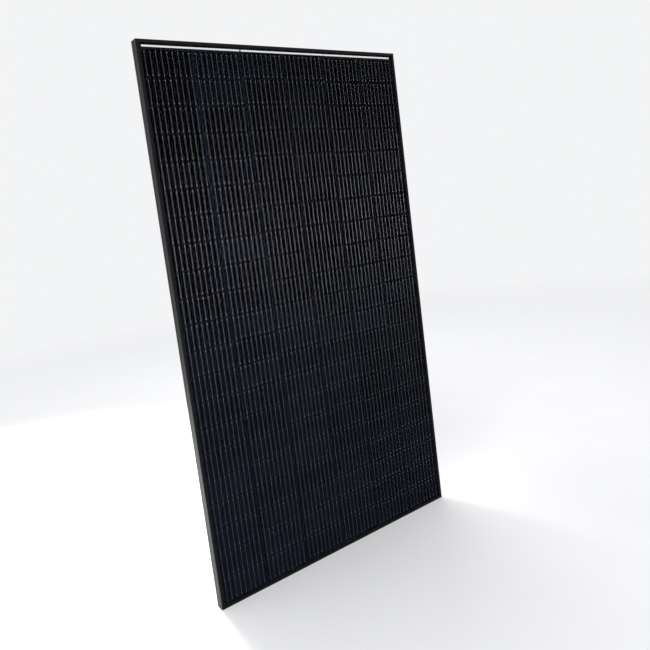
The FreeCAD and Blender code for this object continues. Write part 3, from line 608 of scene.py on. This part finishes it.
# --- studio -------------------------------------------------------------------------------------
def studio_floor():
    """A pale round floor under the object that fades into the surroundings."""
    verts = [(0, 0, cad_low.z)]
    for k in range(FLOOR_SIDES):
        turn = 2 * math.pi * k / FLOOR_SIDES
        verts.append((FLOOR_RADIUS * math.cos(turn), FLOOR_RADIUS * math.sin(turn), cad_low.z))
    faces = [(0, 1 + k, 1 + (k + 1) % FLOOR_SIDES) for k in range(FLOOR_SIDES)]
    mesh = bpy.data.meshes.new("floor")
    mesh.from_pydata(verts, [], faces)
    floor = bpy.data.objects.new("floor", mesh)
    bpy.context.scene.collection.objects.link(floor)
    surface = Surface("pale_floor", Roughness=0.9, IOR=1.2)
    away = surface.node("ShaderNodeVectorMath", operation="LENGTH")
    surface.feed(away.inputs[0], surface.place)
    tone = surface.mix(surface.noise(3.0, 4.0), (0.80, 0.80, 0.81), (0.84, 0.84, 0.85))
    surface.set("Base Color", tone)
    surface.set("Alpha", surface.spread(away.outputs["Value"], (FLOOR_SOLID, FLOOR_RADIUS), (1, 0)))
    mesh.materials.append(surface.material)


def surroundings():
    world = bpy.data.worlds.new("studio")
    world.use_nodes = True
    world.node_tree.nodes["Background"].inputs["Color"].default_value = (*PALE, 1.0)
    bpy.context.scene.world = world
    bpy.context.scene.view_settings.view_transform = "Standard"


def softbox(name, place, aim, size, power, spread=180, shines_on=()):
    """A soft lamp with its beam's spread in degrees. Given a list of objects, it shines on those alone."""
    data = bpy.data.lights.new(name, "AREA")
    data.shape = "RECTANGLE"
    data.size, data.size_y = size
    data.energy = power
    data.spread = math.radians(spread)
    lamp = bpy.data.objects.new(name, data)
    lamp.visible_camera = False
    lamp.location = place
    lamp.rotation_euler = (Vector(aim) - Vector(place)).to_track_quat("-Z", "Y").to_euler()
    bpy.context.scene.collection.objects.link(lamp)
    if shines_on:
        lit = bpy.data.collections.new(f"{name}_lit")
        for made in shines_on:
            lit.objects.link(made)
        lamp.light_linking.receiver_collection = lit


def camera():
    data = bpy.data.cameras.new("camera")
    data.lens = LENS_MM
    data.shift_y = SHIFT_Y
    made = bpy.data.objects.new("camera", data)
    right = Vector(CAMERA_RIGHT).normalized()
    back = right.cross(Vector(CAMERA_UP)).normalized()
    upward = back.cross(right)
    turned = Matrix((right, upward, back)).transposed().to_4x4()
    made.matrix_world = Matrix.Translation(CAMERA_PLACE) @ turned
    bpy.context.scene.collection.objects.link(made)
    bpy.context.scene.camera = made


# --- build --------------------------------------------------------------------------------------
plain = plain_materials()
dress_nodes(plain)
glass_sheet(solar_glass())
crowns = []
for column in range(1, COLUMNS + 1):
    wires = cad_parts[f"string_wires_{column}"]
    crowns.append(wire_crowns(column, wires.material_slots[0].material))
    cell_print(column, plain["print"], plain["solder"])
silicone_beads(plain["rubber"])

studio_floor()
surroundings()
softbox("key_light", place=(-2.6, -2.4, 3.2), aim=(0, 0, 0), size=(2.5, 2.0), power=90)
softbox("rear_light", place=(1.8, 3.0, 2.6), aim=(0, 0, 0), size=(2.5, 2.0), power=45)
softbox("floor_light", place=(-0.1, 2.4, 1.7), aim=(-1.3, 1.1, cad_low.z), size=(0.8, 0.8), power=75,
        spread=80)
softbox("wire_light", place=(1.23, -3.38, 0.2), aim=(0, 0, 0.2), size=(0.7, 0.8), power=400,
        shines_on=crowns)
camera()
